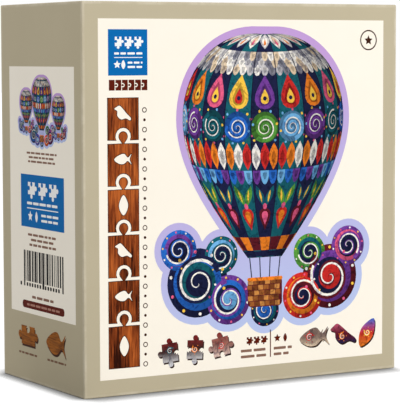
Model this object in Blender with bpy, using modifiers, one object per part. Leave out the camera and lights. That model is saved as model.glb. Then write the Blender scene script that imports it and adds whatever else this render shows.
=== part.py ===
"""Boxed wooden jigsaw puzzle: a full-depth lift-off lid over a base that holds a pouch of cut pieces.

The box stands on the lid's lower wall with its picture side facing -Y. The origin is at the bottom
centre of the closed box. Metres, +Z up.
"""
import math
import random

import bpy
from mathutils import Vector

# Box sizes
BOX_WIDTH = 0.154
BOX_HEIGHT = 0.160
BOX_DEPTH = 0.078
LID_BOARD = 0.002
BASE_BOARD = 0.002
EDGE_ROUNDING = 0.0008
SLIP = 0.0007
MOUTH_GAP = 0.0006
RIM_STEP = 0.001

# Puzzle sizes
PIECE_SIZE = 0.0133
PIECE_THICKNESS = 0.004
KNOB_RADIUS = 0.0020
KNOB_RISE = 0.0016
KNOB_NECK = 0.0013
CORNER_SHIFT = 0.0005
KERF = 0.00015
CUT_GRID = 6
HIDDEN_LAYERS = 3

# Pouch sizes
FILM = 0.0008
POUCH_CLEARANCE = 0.0005
SLOT_CLEARANCE = 0.0001
LAYER_GAP = 0.0005
LEAN = math.radians(4.0)

# Counts of facets on round stretches
ROUNDING_SEGMENTS = 2
KNOB_SEGMENTS = 8
SILHOUETTE_STEPS = 3

# Sizes that follow from the ones above
BASE_WIDTH = BOX_WIDTH - 2 * (LID_BOARD + SLIP)
BASE_HEIGHT = BOX_HEIGHT - 2 * (LID_BOARD + SLIP)
BASE_DEPTH = BOX_DEPTH - LID_BOARD - MOUTH_GAP
LID_DEPTH = BOX_DEPTH - RIM_STEP
INNER_WIDTH = BASE_WIDTH - 2 * BASE_BOARD
INNER_HEIGHT = BASE_HEIGHT - 2 * BASE_BOARD
FLOOR_Z = LID_BOARD + SLIP + BASE_BOARD
BACK_Y = BOX_DEPTH / 2 - BASE_BOARD
SLOT = PIECE_SIZE + 2 * (KNOB_RADIUS + KNOB_RISE + CORNER_SHIFT + SLOT_CLEARANCE)
ROW_PITCH = SLOT * math.sin(math.radians(60))
POUCH_ROOM = 2 * (FILM + POUCH_CLEARANCE)
COLUMNS = math.floor((INNER_WIDTH - POUCH_ROOM) / SLOT - 0.5)
ROWS = 1 + math.floor((INNER_HEIGHT - POUCH_ROOM - SLOT) / ROW_PITCH)
LAYER_PITCH = PIECE_THICKNESS + LAYER_GAP
POUCH_WIDTH = (COLUMNS + 0.5) * SLOT + 2 * FILM
POUCH_HEIGHT = SLOT + (ROWS - 1) * ROW_PITCH + FILM
POUCH_THICKNESS = (1 + HIDDEN_LAYERS) * LAYER_PITCH + LAYER_GAP + 2 * FILM

# Colours of the materials, linear red, green and blue
TAN_PAPER = (0.51, 0.45, 0.32)
GREY_BOARD = (0.42, 0.39, 0.33)
CLEAR_FILM = (0.80, 0.82, 0.84)
BARE_WOOD = (0.47, 0.29, 0.14)
PRINT_COLOURS = (
    (0.02, 0.07, 0.19), (0.45, 0.05, 0.06), (0.75, 0.25, 0.05), (0.55, 0.12, 0.30),
    (0.05, 0.30, 0.12), (0.04, 0.22, 0.50), (0.70, 0.52, 0.10), (0.62, 0.60, 0.56),
)

# Outlines of the figure-shaped pieces, as points on a circle of radius 1 that a smooth curve joins
FISH = ((-0.90, 0.00), (-0.45, -0.36), (0.05, -0.40), (0.45, -0.15), (0.80, -0.44), (0.64, 0.00),
        (0.80, 0.44), (0.45, 0.15), (0.10, 0.48), (-0.45, 0.36))
BIRD = ((-0.86, 0.40), (-0.58, 0.22), (-0.56, -0.20), (-0.20, -0.52), (0.30, -0.44), (0.68, -0.62),
        (0.78, -0.42), (0.35, 0.00), (-0.05, 0.44), (-0.34, 0.68), (-0.62, 0.58))
LEAF = ((0.00, -0.90), (0.38, -0.40), (0.42, 0.20), (0.00, 0.90), (-0.42, 0.20), (-0.38, -0.40))
WING = ((0.00, -0.45), (0.46, -0.70), (0.66, -0.34), (0.36, 0.00), (0.80, 0.38), (0.56, 0.68), (0.14, 0.32))
BUTTERFLY = WING + ((0.00, 0.46),) + tuple((-x, y) for x, y in reversed(WING[1:]))
STAR_INNER = 0.48
STAR_OUTER = 0.86
STAR_POINTS = 5


def star():
    """A star with soft points, between an outer and an inner circle."""
    points = []
    for index in range(2 * STAR_POINTS):
        angle = math.pi / 2 + index * math.pi / STAR_POINTS
        reach = STAR_INNER if index % 2 else STAR_OUTER
        points.append((reach * math.cos(angle), reach * math.sin(angle)))
    return points


def heart():
    """The common heart curve, brought to a radius under 1."""
    count = 14
    shrink = 19.0
    points = []
    for index in range(count):
        turn = 2 * math.pi * index / count
        across = 16 * math.sin(turn) ** 3
        up = 13 * math.cos(turn) - 5 * math.cos(2 * turn) - 2 * math.cos(3 * turn) - math.cos(4 * turn)
        points.append((across / shrink, (up + 2.5) / shrink))
    return list(reversed(points))


def clear_scene():
    for item in list(bpy.data.objects):
        bpy.data.objects.remove(item, do_unlink=True)


def new_collection(name):
    collection = bpy.data.collections.new(name)
    bpy.context.scene.collection.children.link(collection)
    return collection


def paint(item, colour, roughness):
    """Gives an object its own plain material."""
    material = bpy.data.materials.new(item.name)
    material.use_nodes = True
    shader = material.node_tree.nodes["Principled BSDF"]
    shader.inputs["Base Color"].default_value = (*colour, 1.0)
    shader.inputs["Roughness"].default_value = roughness
    shader.inputs["Metallic"].default_value = 0.0
    item.data.materials.append(material)


def add_block(name, collection, size, centre):
    """A box of a given size, with its scale applied and its origin at its centre."""
    bpy.ops.mesh.primitive_cube_add(size=1.0)
    block = bpy.context.object
    block.name = name
    block.scale = size
    bpy.ops.object.transform_apply(location=False, rotation=False, scale=True)
    block.location = centre
    for owner in list(block.users_collection):
        owner.objects.unlink(block)
    collection.objects.link(block)
    return block


def add_cutter(name, size, centre):
    cutter = add_block(name, cutters, size, centre)
    cutter.hide_render = True
    cutter.display_type = "WIRE"
    return cutter


def round_edges(item, width):
    bevel = item.modifiers.new("rounded_edges", "BEVEL")
    bevel.width = width
    bevel.segments = ROUNDING_SEGMENTS
    bevel.limit_method = "ANGLE"


def cut(item, cutter):
    boolean = item.modifiers.new("cut_" + cutter.name, "BOOLEAN")
    boolean.operation = "DIFFERENCE"
    boolean.object = cutter


def add_lid():
    """The printed lid: front panel and four walls of paper-wrapped board, open at the back."""
    front = -BOX_DEPTH / 2
    size = Vector((BOX_WIDTH, LID_DEPTH, BOX_HEIGHT))
    centre = Vector((0.0, front + LID_DEPTH / 2, BOX_HEIGHT / 2))
    lid = add_block("lid", parts, size, centre)
    round_edges(lid, EDGE_ROUNDING)
    wall = Vector((LID_BOARD, LID_BOARD / 2, LID_BOARD))
    past_rim = Vector((0.0, LID_BOARD, 0.0))
    cut(lid, add_cutter("lid_hollow", size - 2 * wall + past_rim, centre + past_rim))
    paint(lid, TAN_PAPER, 0.55)


def add_base():
    """The base inside the lid: back panel and four walls, open at the front."""
    size = Vector((BASE_WIDTH, BASE_DEPTH, BASE_HEIGHT))
    centre = Vector((0.0, BOX_DEPTH / 2 - BASE_DEPTH / 2, BOX_HEIGHT / 2))
    base = add_block("base", parts, size, centre)
    round_edges(base, EDGE_ROUNDING)
    wall = Vector((BASE_BOARD, BASE_BOARD / 2, BASE_BOARD))
    past_rim = Vector((0.0, -BASE_BOARD, 0.0))
    cut(base, add_cutter("base_hollow", size - 2 * wall - past_rim, centre + past_rim))
    paint(base, GREY_BOARD, 0.7)


def add_pouch_frame():
    """An empty at the pouch's lower back edge, leaning back until the pouch's top meets the back wall."""
    frame = bpy.data.objects.new("pouch_frame", None)
    parts.objects.link(frame)
    top_reach = POUCH_HEIGHT * math.sin(LEAN)
    frame.location = (0.0, BACK_Y - POUCH_CLEARANCE - top_reach, FLOOR_Z + POUCH_CLEARANCE)
    frame.rotation_euler = (-LEAN, 0.0, 0.0)
    return frame


def add_pouch(frame):
    """The clear pouch, as a thin tub with its mouth at the top."""
    size = Vector((POUCH_WIDTH, POUCH_THICKNESS, POUCH_HEIGHT))
    centre = Vector((0.0, -POUCH_THICKNESS / 2, POUCH_HEIGHT / 2))
    pouch = add_block("pouch", parts, size, centre)
    pouch.parent = frame
    wall = Vector((FILM, FILM, FILM / 2))
    past_mouth = Vector((0.0, 0.0, FILM))
    hollow = add_cutter("pouch_hollow", size - 2 * wall + past_mouth, centre + past_mouth)
    hollow.parent = frame
    cut(pouch, hollow)
    paint(pouch, CLEAR_FILM, 0.2)


def knob_edge(start, end, side, share):
    """One cut between two grid corners, with a round knob on its left (side 1) or right (side -1)."""
    along = (end - start).normalized()
    across = Vector((-along.y, along.x)) * side
    foot = start.lerp(end, share)
    head = foot + across * KNOB_RISE
    low = math.asin(-KNOB_RISE / math.hypot(KNOB_NECK, KNOB_RISE))
    points = [start]
    for step in range(KNOB_SEGMENTS + 1):
        angle = (math.pi - low) + (2 * low - math.pi) * step / KNOB_SEGMENTS
        points.append(head + KNOB_RADIUS * (along * math.cos(angle) + across * math.sin(angle)))
    return points


def cut_pattern():
    """The cuts of a square sheet: edges[(column, row, upright)] from the lower or left corner on."""
    chance = random.Random(150)
    corners = {}
    for column in range(CUT_GRID + 1):
        for row in range(CUT_GRID + 1):
            shift = Vector((chance.uniform(-1, 1), chance.uniform(-1, 1))) * CORNER_SHIFT
            corners[column, row] = Vector((column, row)) * PIECE_SIZE + shift
    edges = {}
    for (column, row), corner in corners.items():
        for upright in (False, True):
            far = (column, row + 1) if upright else (column + 1, row)
            if far in corners:
                side = chance.choice((-1, 1))
                edges[column, row, upright] = knob_edge(corner, corners[far], side, chance.uniform(0.44, 0.56))
                edges[column, row, upright].append(corners[far])
    return edges


def join_edges(chain):
    """One closed outline from edges that follow each other, each with a flag that turns it round."""
    outline = []
    for edge, turned in chain:
        points = list(reversed(edge)) if turned else edge
        outline.extend(points[:-1])
    return outline


def piece_outline(edges, column, row):
    """The outline of one piece of the sheet, about the middle of its cell."""
    chain = (
        (edges[column, row, False], False),
        (edges[column + 1, row, True], False),
        (edges[column, row + 1, False], True),
        (edges[column, row, True], True),
    )
    middle = Vector((column + 0.5, row + 0.5)) * PIECE_SIZE
    return [point - middle for point in join_edges(chain)]


def sheet_outline(edges):
    """The outline of the whole sheet, about its middle."""
    chain = [(edges[index, 0, False], False) for index in range(CUT_GRID)]
    chain += [(edges[CUT_GRID, index, True], False) for index in range(CUT_GRID)]
    chain += [(edges[index, CUT_GRID, False], True) for index in reversed(range(CUT_GRID))]
    chain += [(edges[0, index, True], True) for index in reversed(range(CUT_GRID))]
    middle = Vector((0.5, 0.5)) * CUT_GRID * PIECE_SIZE
    return [point - middle for point in join_edges(chain)]


def take_in(outline, distance):
    """Moves an outline's points inwards, so that neighbours keep the cut's width between them."""
    moved = []
    for index, point in enumerate(outline):
        before = point - outline[index - 1]
        after = outline[(index + 1) % len(outline)] - point
        along = (before.normalized() + after.normalized()).normalized()
        moved.append(point + Vector((-along.y, along.x)) * distance)
    return moved


def add_flat_piece(name, outline, smooth):
    """A flat piece of board cut along an outline, standing with its printed side to the front."""
    curve = bpy.data.curves.new(name, "CURVE")
    curve.dimensions = "2D"
    curve.fill_mode = "BOTH"
    curve.extrude = PIECE_THICKNESS / 2
    curve.resolution_u = SILHOUETTE_STEPS
    spline = curve.splines.new("BEZIER" if smooth else "POLY")
    points = spline.bezier_points if smooth else spline.points
    points.add(len(outline) - 1)
    for point, place in zip(points, outline):
        if smooth:
            point.co = (place[0], place[1], 0.0)
            point.handle_left_type = "AUTO"
            point.handle_right_type = "AUTO"
        else:
            point.co = (place[0], place[1], 0.0, 1.0)
    spline.use_cyclic_u = True
    piece = bpy.data.objects.new(name, curve)
    parts.objects.link(piece)
    return piece


def layer_middle(layer):
    """The depth of a layer's middle in the pouch's frame, counted from the front."""
    return -POUCH_THICKNESS + FILM + LAYER_GAP + PIECE_THICKNESS / 2 + layer * LAYER_PITCH


def add_front_layer(frame, edges):
    """The loose pieces that show through the pouch's front, each in its own round slot, turned at will."""
    chance = random.Random(42)
    figures = {"fish": FISH, "bird": BIRD, "leaf": LEAF, "butterfly": BUTTERFLY, "star": star(), "heart": heart()}
    slots = COLUMNS * ROWS
    figure_slots = {int((index + 0.5) * slots / len(figures)): name for index, name in enumerate(figures)}
    figure_reach = SLOT / 2 - SLOT_CLEARANCE
    cells = [(column, row) for row in range(CUT_GRID) for column in range(CUT_GRID)]
    chance.shuffle(cells)
    for slot in range(slots):
        row, column = divmod(slot, COLUMNS)
        if slot in figure_slots:
            name = figure_slots[slot]
            outline = [Vector(point) * figure_reach for point in figures[name]]
            piece = add_flat_piece("figure_piece_" + name, outline, True)
        elif cells:
            cut_column, cut_row = cells.pop()
            outline = take_in(piece_outline(edges, cut_column, cut_row), KERF / 2)
            piece = add_flat_piece("piece_%02d" % (cut_row * CUT_GRID + cut_column + 1), outline, False)
        else:
            continue
        across = (column + 0.5 + 0.5 * (row % 2)) * SLOT - POUCH_WIDTH / 2 + FILM
        up = FILM + SLOT / 2 + row * ROW_PITCH
        piece.parent = frame
        piece.location = (across, layer_middle(0), up)
        piece.rotation_euler = (math.pi / 2, chance.uniform(0, 2 * math.pi), 0.0)
        paint(piece, PRINT_COLOURS[slot % len(PRINT_COLOURS)], 0.5)


def add_hidden_layers(frame, edges):
    """The pieces behind the front layer, each layer as one still-joined sheet at the pouch's foot."""
    outline = sheet_outline(edges)
    for layer in range(1, HIDDEN_LAYERS + 1):
        sheet = add_flat_piece("joined_pieces_%d" % layer, outline, False)
        lowest = min(point.y for point in outline)
        sheet.parent = frame
        sheet.location = (0.0, layer_middle(layer), FILM + SLOT_CLEARANCE - lowest)
        sheet.rotation_euler = (math.pi / 2, 0.0, 0.0)
        paint(sheet, BARE_WOOD, 0.6)


clear_scene()
parts = new_collection("boxed_jigsaw_puzzle")
cutters = new_collection("cutters")
add_lid()
add_base()
pouch_frame = add_pouch_frame()
add_pouch(pouch_frame)
pattern = cut_pattern()
add_front_layer(pouch_frame, pattern)
add_hidden_layers(pouch_frame, pattern)
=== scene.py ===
"""Looks of a boxed wooden jigsaw puzzle: printed lift-off lid, base, clear pouch and loose pieces."""
import math
import random
from collections import namedtuple

import bmesh
import bpy
from mathutils import Matrix, Vector, geometry, noise


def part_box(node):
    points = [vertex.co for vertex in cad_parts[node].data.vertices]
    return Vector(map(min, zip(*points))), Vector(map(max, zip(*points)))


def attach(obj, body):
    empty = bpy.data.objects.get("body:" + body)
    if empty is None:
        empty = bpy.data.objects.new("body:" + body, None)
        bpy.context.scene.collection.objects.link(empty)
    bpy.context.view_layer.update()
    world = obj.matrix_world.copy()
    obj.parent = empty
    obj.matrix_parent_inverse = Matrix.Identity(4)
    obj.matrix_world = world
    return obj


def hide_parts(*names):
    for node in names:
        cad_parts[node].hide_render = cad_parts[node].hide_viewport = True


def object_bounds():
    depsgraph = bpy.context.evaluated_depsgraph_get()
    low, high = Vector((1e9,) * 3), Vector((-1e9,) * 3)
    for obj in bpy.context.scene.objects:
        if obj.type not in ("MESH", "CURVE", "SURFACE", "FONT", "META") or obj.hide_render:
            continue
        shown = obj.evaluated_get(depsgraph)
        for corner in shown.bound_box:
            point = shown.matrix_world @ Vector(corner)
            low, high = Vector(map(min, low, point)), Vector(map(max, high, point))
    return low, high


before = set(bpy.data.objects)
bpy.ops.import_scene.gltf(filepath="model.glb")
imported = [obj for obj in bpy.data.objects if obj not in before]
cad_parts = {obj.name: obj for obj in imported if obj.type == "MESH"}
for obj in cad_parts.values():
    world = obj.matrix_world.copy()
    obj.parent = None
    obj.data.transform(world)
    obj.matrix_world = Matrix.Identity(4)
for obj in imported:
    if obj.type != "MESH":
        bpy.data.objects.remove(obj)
cad_low, cad_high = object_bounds()
scene = bpy.context.scene
scene.view_settings.view_transform = "Standard"

# Camera: a long lens off the box's near left corner, a little below the top edge, that looks slightly
# down. Lengths are written in millimetres, and MM brings them to metres.
MM = 0.001
CAMERA_PLACE = Vector((-430.1, -734.3, 138.2)) * MM
CAMERA_TURN = math.radians(-30.364)
CAMERA_DIP = math.radians(-4.34)
CAMERA_ROLL = math.radians(-0.166)
LENS = 172.6
SENSOR_WIDTH = 36.0
NEAREST_SEEN = 50.0 * MM

camera_data = bpy.data.cameras.new("camera")
camera_data.lens = LENS
camera_data.sensor_width = SENSOR_WIDTH
camera_data.clip_start = NEAREST_SEEN
camera = bpy.data.objects.new("camera", camera_data)
camera.location = CAMERA_PLACE
aim = Matrix.Rotation(CAMERA_TURN, 4, "Z") @ Matrix.Rotation(math.pi / 2 + CAMERA_DIP, 4, "X")
camera.rotation_euler = (aim @ Matrix.Rotation(CAMERA_ROLL, 4, "Z")).to_euler()
scene.collection.objects.link(camera)
scene.camera = camera

# Floor: plain pale board under the box. It shows almost white, apart from the shade along the box's foot,
# which ends sooner at the side than in front. It throws back less light than it shows, and on the left of
# the box's near corner the colour it throws light back with is darkened further, as a painted shade.
LID_LOW, LID_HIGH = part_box("lid")
FLOOR_SIZE = 12.0
FLOOR_BOUNCE = 0.52
FLOOR_SHOWN = 0.15
GLOW_NEAR = 0.95
GLOW_FAR = 1.0
GLOW_STARTS = 0.35
GLOW_ENDS = 1.5
FRONT_REACH = 13.0 * MM
SIDE_REACH = 7.4 * MM
SHADE_BLEND = 4.0 * MM
PAINTED_SHADE_SHARE = 0.3
PAINTED_SHADE_STARTS = 5.0 * MM
PAINTED_SHADE_ENDS = 85.0 * MM


def worked(operation):
    """A method that works a shader value out with one Math node."""
    def method(self, *others):
        return self.nodes.node("ShaderNodeMath", dict(enumerate((self, *others))), operation=operation)
    return method


class Socket:
    """A shader value that Python's own operators can work on."""

    __add__ = __radd__ = worked("ADD")
    __mul__ = __rmul__ = worked("MULTIPLY")
    __sub__ = worked("SUBTRACT")
    __abs__ = worked("ABSOLUTE")
    __gt__ = worked("GREATER_THAN")
    __lt__ = worked("LESS_THAN")
    at_least = worked("MAXIMUM")
    at_most = worked("MINIMUM")
    fraction = worked("FRACT")

    def __init__(self, nodes, link):
        self.nodes = nodes
        self.link = link

    def __rsub__(self, other):
        return self.nodes.node("ShaderNodeMath", {0: other, 1: self}, operation="SUBTRACT")


class Nodes:
    """A tree of shader nodes, filled in node by node in front of its shader."""

    def __init__(self, owner, shader):
        owner.use_nodes = True
        self.tree = owner.node_tree
        self.shader = self.tree.nodes[shader]

    def plug(self, entry, value):
        if isinstance(value, Socket):
            self.tree.links.new(value.link, entry)
        else:
            entry.default_value = (*value, 1.0) if entry.type == "RGBA" else value

    def set(self, entry, value):
        self.plug(self.shader.inputs[entry], value)

    def node(self, kind, values=None, output=0, **settings):
        made = self.tree.nodes.new(kind)
        for name, setting in settings.items():
            if name == "stops":
                ramp = made.color_ramp
                while len(ramp.elements) < len(setting):
                    ramp.elements.new(0.5)
                for stop, (place, colour) in zip(ramp.elements, setting):
                    stop.position = place
                    stop.color = (*colour, 1.0)
            else:
                setattr(made, name, setting)
        for name, value in (values or {}).items():
            self.plug(made.inputs[name], value)
        return Socket(self, made.outputs[output])

    def looked_at(self):
        """1 for what the camera sees, straight on or by way of gloss or glass, and 0 for other light."""
        seen = self.node("ShaderNodeLightPath", output="Is Camera Ray")
        for ray in ("Is Glossy Ray", "Is Transmission Ray"):
            seen = seen.at_least(self.node("ShaderNodeLightPath", output=ray))
        return seen


class Finish(Nodes):
    """A material with one Principled shader."""

    def __init__(self, name):
        self.material = bpy.data.materials.new(name)
        super().__init__(self.material, "Principled BSDF")

    def point(self):
        return self.node("ShaderNodeTexCoord", output="Object")

    def along(self, vector, axis):
        return self.node("ShaderNodeSeparateXYZ", {"Vector": vector}, axis)

    def place(self, shift=(0.0, 0.0, 0.0), turn=(0.0, 0.0, 0.0), stretch=(1.0, 1.0, 1.0)):
        """Where a point lies on the object, moved, turned and stretched for a pattern."""
        values = {"Vector": self.point(), "Location": shift, "Rotation": turn, "Scale": stretch}
        return self.node("ShaderNodeMapping", values)

    def noise(self, scale, detail=2.0, rough=0.5, twist=0.0, **placing):
        values = {"Vector": self.place(**placing), "Scale": scale, "Detail": detail}
        values.update({"Roughness": rough, "Distortion": twist})
        return self.node("ShaderNodeTexNoise", values, "Fac")

    def ramp(self, value, *stops):
        return self.node("ShaderNodeValToRGB", {"Fac": value}, "Color", stops=stops)

    def blend(self, share, under, over, mode="MIX"):
        values = {"Factor": share, 6: under, 7: over}
        return self.node("ShaderNodeMix", values, 2, data_type="RGBA", blend_type=mode)

    def soft_step(self, value, start, end, low=0.0, high=1.0):
        """Goes smoothly from low to high as a value passes from start to end."""
        values = {"Value": value, "From Min": start, "From Max": end, "To Min": low, "To Max": high}
        return self.node("ShaderNodeMapRange", values, interpolation_type="SMOOTHSTEP")

    def bump(self, height, strength, distance):
        values = {"Height": height, "Strength": strength, "Distance": distance}
        self.set("Normal", self.node("ShaderNodeBump", values, "Normal"))


bpy.ops.object.select_all(action="DESELECT")
bpy.ops.mesh.primitive_plane_add(size=FLOOR_SIZE)
floor = bpy.context.object
floor.name = "floor"
floor_paint = Finish("floor_white")
floor_paint.set("Roughness", 0.9)
floor_paint.set("Specular IOR Level", 0.0)
looked_at = floor_paint.looked_at()
floor_spot = floor_paint.point()
far = floor_paint.node("ShaderNodeVectorMath", {0: floor_spot}, "Value", operation="LENGTH")
glow = floor_paint.soft_step(far, GLOW_STARTS, GLOW_ENDS, GLOW_NEAR, GLOW_FAR)


def passed(edge):
    """0 on the left of an edge of the box and 1 on its right, with a soft step between."""
    across = floor_paint.along(floor_spot, "X")
    return floor_paint.soft_step(across, edge - SHADE_BLEND, edge + SHADE_BLEND)


def contact(reach):
    """The shade where the box stands on the floor, which ends this far from it."""
    corner = floor_paint.node("ShaderNodeAmbientOcclusion", {"Distance": reach}, "AO", samples=8)
    return corner * corner * corner


# Painted shade: the floor's colour for bounced light is darkened near the box's near left corner, so that
# the foot of the left wall gets less light.
away = floor_paint.node("ShaderNodeVectorMath", {0: floor_spot, 1: LID_LOW}, "Value", operation="DISTANCE")
painted_floor_shade = floor_paint.soft_step(away, PAINTED_SHADE_STARTS, PAINTED_SHADE_ENDS, PAINTED_SHADE_SHARE, 1.0)
bounce = (painted_floor_shade + (1.0 - painted_floor_shade) * passed(LID_LOW.x)) * FLOOR_BOUNCE
floor_paint.set("Base Color", bounce + (FLOOR_SHOWN - bounce) * looked_at)
shade = contact(SIDE_REACH)
shade = shade + (contact(FRONT_REACH) - shade) * passed(LID_LOW.x)
shade = shade + (1.0 - shade) * passed(LID_HIGH.x)
floor_paint.set("Emission Color", looked_at * glow * shade)
floor_paint.set("Emission Strength", 1.0)
floor.data.materials.append(floor_paint.material)

# Studio light: white from all round, with a softbox low in front on the right and a wider one overhead.
# The surroundings show as plain white, and light the box a little less than that.
WORLD_LIGHT = 0.82
scene.world = bpy.data.worlds.new("studio")
studio = Nodes(scene.world, "Background")
studio.set("Color", (1.0, 1.0, 1.0))
studio.set("Strength", WORLD_LIGHT + studio.looked_at() * (1.0 - WORLD_LIGHT))


def soft_lamp(name, place, aim, size, power):
    """A square studio softbox that looks at a point."""
    lamp_data = bpy.data.lights.new(name, "AREA")
    lamp_data.size = size
    lamp_data.energy = power
    lamp = bpy.data.objects.new(name, lamp_data)
    lamp.location = place
    lamp.rotation_euler = (Vector(aim) - Vector(place)).to_track_quat("-Z", "Y").to_euler()
    scene.collection.objects.link(lamp)


soft_lamp("key_softbox", place=(1.05, -2.16, 0.36), aim=(0.0, 0.0, 0.08), size=1.0, power=30.0)
soft_lamp("top_softbox", place=(-0.1, 0.2, 1.6), aim=(0.0, 0.0, 0.0), size=1.2, power=3.0)

# Lid: greyboard folded into a tray and wrapped in satin printed paper, which turns in over the rim
# and ends in a thin paper step inside. The board shows bare further in.
BOARD = 2.0 * MM
FOLD_ROUNDING = 0.6 * MM
FOLD_ANGLE = math.radians(35)
SOFT_RIM = 0.35 * MM
TURN_IN = 15.0 * MM
PAPER_STEP = 0.15 * MM
FOLD_WEAR_AND_HIGHLIGHT = 1.5 * MM
PAPER_SHINE = 0.02
FIBRE_SCALE = 2600.0
FIBRE_RELIEF = 0.05 * MM
SPECK_RELIEF = 0.1 * MM


def srgb(red, green, blue):
    """A colour as a paint chart gives it, 0 to 255, in the linear values that shaders take."""
    def linear(value):
        share = value / 255
        return share / 12.92 if share <= 0.04045 else ((share + 0.055) / 1.055) ** 2.4
    return (linear(red), linear(green), linear(blue))


TAN = srgb(193, 182, 155)
TAN_DARK = srgb(179, 168, 141)
TAN_WORN_AND_HIGHLIT = srgb(232, 224, 206)
BOARD_GREY = srgb(186, 180, 168)
BOARD_SPECK = srgb(160, 154, 143)


def wrap_paper(name, low, high):
    """Satin tan paper: faint cloudy tone, fine fibres, and folds that are paler here and there, partly from
    wear and partly as a painted highlight.
    """
    paper = Finish(name)
    cloudy = paper.noise(35.0)
    fibre = paper.noise(FIBRE_SCALE, stretch=(1.0, 1.0, 0.35))
    rub = paper.ramp(paper.noise(90.0, 4.0, 0.7), (0.42, (0.25, 0.25, 0.25)), (0.62, (1.0, 1.0, 1.0)))
    middle = (low + high) / 2
    half = (high - low) / 2
    near = []
    for index, axis in enumerate("XYZ"):
        inside = half[index] - abs(paper.along(paper.point(), axis) - middle[index])
        near.append((1.0 - inside * (1 / FOLD_WEAR_AND_HIGHLIGHT)).at_least(0.0))
    fold = (near[0] * near[1]).at_least(near[1] * near[2]).at_least(near[0] * near[2])
    # Paler along the folds: partly rubbed wear, partly a painted highlight where the rounded folds catch the
    # light.
    wear_and_highlight = (fold * 2.2).at_most(1.0) * rub
    tone = paper.blend(cloudy * 0.5, TAN, TAN_DARK)
    tone = paper.blend(fibre * 0.10, tone, TAN_DARK)
    paper.set("Base Color", paper.blend(wear_and_highlight * 0.32, tone, TAN_WORN_AND_HIGHLIT))
    paper.set("Roughness", 0.42 + fibre * 0.16 + wear_and_highlight * 0.2)
    paper.set("Specular IOR Level", PAPER_SHINE)
    paper.bump(fibre, 0.12, FIBRE_RELIEF)
    return paper.material


def bare_board():
    """Recycled greyboard with specks and short fibres."""
    board = Finish("grey_board")
    speck = board.noise(2400.0, 4.0, 0.7)
    board.set("Base Color", board.ramp(speck, (0.40, BOARD_SPECK), (0.56, BOARD_GREY)))
    board.set("Roughness", 0.85)
    board.bump(speck, 0.3, SPECK_RELIEF)
    return board.material


GREY_BOARD = bare_board()


def pick(item, kind, test):
    """In edit mode, selects only the elements of a kind, EDGE or FACE, that pass a test."""
    bpy.ops.mesh.select_mode(type=kind)
    bpy.ops.mesh.select_all(action="DESELECT")
    mesh = bmesh.from_edit_mesh(item.data)
    for element in mesh.edges if kind == "EDGE" else mesh.faces:
        element.select_set(test(element))
    bmesh.update_edit_mesh(item.data)


def at_border(edge):
    return len(edge.link_faces) == 1


def open_box(name, low, high, mouth, rounding):
    """A thin box between two corners, open towards mouth, with rounded folds; it is left in edit mode."""
    bpy.ops.object.select_all(action="DESELECT")
    bpy.ops.mesh.primitive_cube_add(size=1.0, location=(low + high) / 2, scale=high - low)
    item = bpy.context.object
    item.name = name
    bpy.ops.object.transform_apply(location=True, rotation=True, scale=True)
    bpy.ops.object.mode_set(mode="EDIT")
    pick(item, "FACE", lambda face: face.normal.dot(mouth) > 0.9)
    bpy.ops.mesh.delete(type="FACE")
    pick(item, "EDGE", lambda edge: not at_border(edge))
    bpy.ops.mesh.bevel(offset=rounding, segments=4, affect="EDGES")
    return item


def face_outwards():
    """Turns every face of the mesh in edit mode outwards, and leaves edit mode."""
    bpy.ops.mesh.select_all(action="SELECT")
    bpy.ops.mesh.normals_make_consistent(inside=False)
    bpy.ops.object.mode_set(mode="OBJECT")


def tray(name, low, high, mouth):
    """A paper-wrapped tray between two corners, open towards mouth (1 is +Y, -1 is -Y)."""
    size = high - low
    middle = (low + high) / 2
    rim_y = high.y if mouth > 0 else low.y
    floor_y = low.y + BOARD if mouth > 0 else high.y - BOARD
    soft_y = rim_y - mouth * SOFT_RIM
    turned_y = rim_y - mouth * TURN_IN
    item = open_box(name, low, high, Vector((0.0, mouth, 0.0)), FOLD_ROUNDING)

    def reach(y):
        picked = [vertex for vertex in bmesh.from_edit_mesh(item.data).verts if vertex.select]
        bpy.ops.transform.translate(value=(0.0, y - picked[0].co.y, 0.0))

    pick(item, "EDGE", at_border)
    reach(soft_y)
    for inwards, y in ((SOFT_RIM, rim_y), (BOARD - 2 * SOFT_RIM, rim_y), (SOFT_RIM, soft_y),
                       (0.0, turned_y), (-PAPER_STEP, turned_y), (0.0, floor_y)):
        bpy.ops.mesh.extrude_edges_move()
        narrower = (1 - 2 * inwards / size.x, 1.0, 1 - 2 * inwards / size.z)
        bpy.ops.transform.resize(value=narrower, center_override=middle)
        reach(y)
    bpy.ops.mesh.edge_face_add()
    face_outwards()
    item.data.materials.append(wrap_paper(name + "_paper", low, high))
    item.data.materials.append(GREY_BOARD)
    for face in item.data.polygons:
        spot = face.center - middle
        inside = abs(spot.x) < size.x / 2 - BOARD / 2 and abs(spot.z) < size.z / 2 - BOARD / 2
        deep = (rim_y - face.center.y) * mouth > TURN_IN - PAPER_STEP / 2
        outer = (face.center.y - floor_y) * mouth < -BOARD / 2
        if inside and deep and not outer:
            face.material_index = 1
    bpy.ops.object.shade_smooth_by_angle(angle=FOLD_ANGLE)
    return item


lid = tray("lid_wrap", LID_LOW, LID_HIGH, 1)
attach(lid, "lid")
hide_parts("lid")

# Front of the lid: a cream panel and a blue label with white marks. Each print is a skin of ink, thinner
# than the paper, that lies on the wrap or on the print below it; its outline is drawn in millimetres, to
# the right and up, as its wall is seen from outside.
INK = 0.02


def wall(origin, right, up):
    """Takes a print's own millimetres (right, up, outwards) to a wall of the box, in metres."""
    right = Vector(right)
    up = Vector(up)
    turn = Matrix((right, up, right.cross(up))).transposed().to_4x4()
    return Matrix.Translation(origin) @ turn @ Matrix.Scale(MM, 4)


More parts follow.
